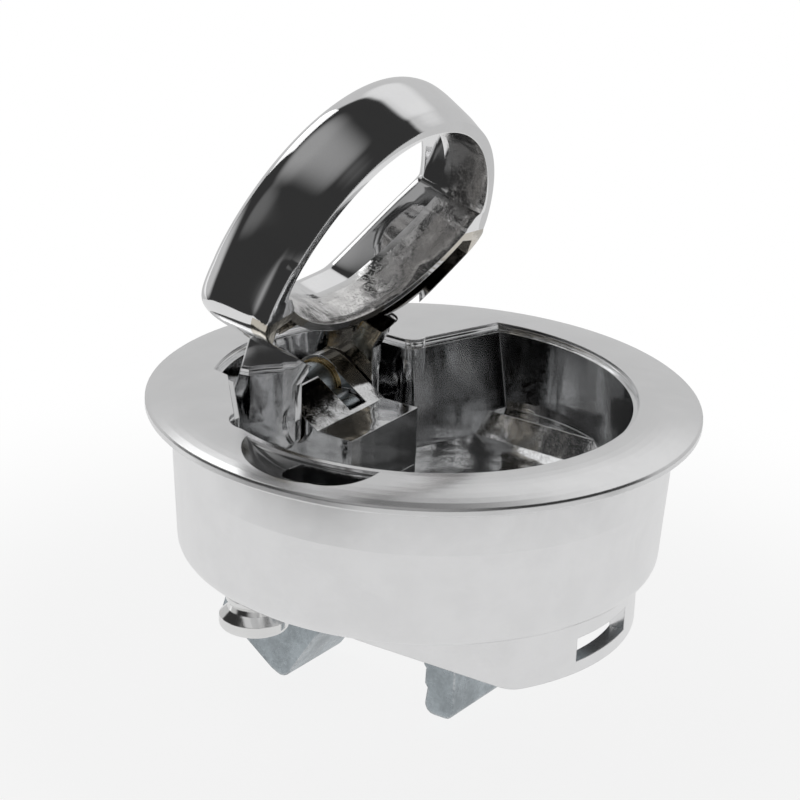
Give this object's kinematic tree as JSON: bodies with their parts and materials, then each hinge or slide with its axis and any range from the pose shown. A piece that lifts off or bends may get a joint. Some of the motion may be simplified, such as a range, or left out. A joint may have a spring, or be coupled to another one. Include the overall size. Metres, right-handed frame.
{
  "type": "recessed pull handle latch",
  "caption": "Round flush handle cup with a ring pull hinged at one side, geared to a swinging hook beside a fixed stepped jaw under the cup.",
  "frame": {"origin": "middle of the flange's underside, in the plane of the door's face", "axes": "+Z out of the door, +X from the hinge towards the jaw, +Y along the hinge axis"},
  "size_m": [0.076, 0.076, 0.0878],
  "materials": {
    "satin_chrome": "satin chrome plate on a zinc die casting, rough as cast inside",
    "bright_chrome": "polished chrome plate, rough as cast on the inner side",
    "zinc_steel": "blue zinc plate with worn edges",
    "nickel_steel": "bright nickel plate, turned",
    "spring_steel": "oiled dark spring steel",
    "brass": "turned brass"
  },
  "bodies": {
    "housing": {"cup_housing": "satin_chrome", "hinge_bush_near": "brass", "hinge_bush_far": "brass", "stepped_jaw": "zinc_steel", "jaw_screw_inner": "nickel_steel", "jaw_screw_outer": "nickel_steel", "jaw_lock_washer_inner": "spring_steel", "jaw_lock_washer_outer": "spring_steel", "mount_screw_near": "nickel_steel", "mount_screw_far": "nickel_steel", "mount_washer_near": "nickel_steel", "mount_washer_far": "nickel_steel", "mount_nut_near": "nickel_steel", "mount_nut_far": "nickel_steel", "hook_pin": "zinc_steel", "hook_pin_clip": "spring_steel"},
    "handle": {"ring_handle": "bright_chrome", "hinge_shaft": "nickel_steel", "drive_sector": "zinc_steel", "sector_pin": "spring_steel", "friction_shim_near": "spring_steel", "friction_shim_far": "spring_steel"},
    "hook": {"latch_hook": "zinc_steel", "hook_sleeve": "brass"}
  },
  "joints": [
    {"name": "ring_turn", "type": "hinge", "parent": "housing", "child": "handle", "pos_m": [-0.0209, 0, -0.0034], "axis": [0, -1, 0], "range_deg": [-72, 8]},
    {"name": "hook_swing", "type": "hinge", "parent": "housing", "child": "hook", "pos_m": [-0.0168, 0, -0.02047], "axis": [0, -1, 0], "range_deg": [-5, 45]}
  ],
  "couplings": [
    {"joint": "hook_swing", "follows": "ring_turn", "ratio": -0.625}
  ]
}
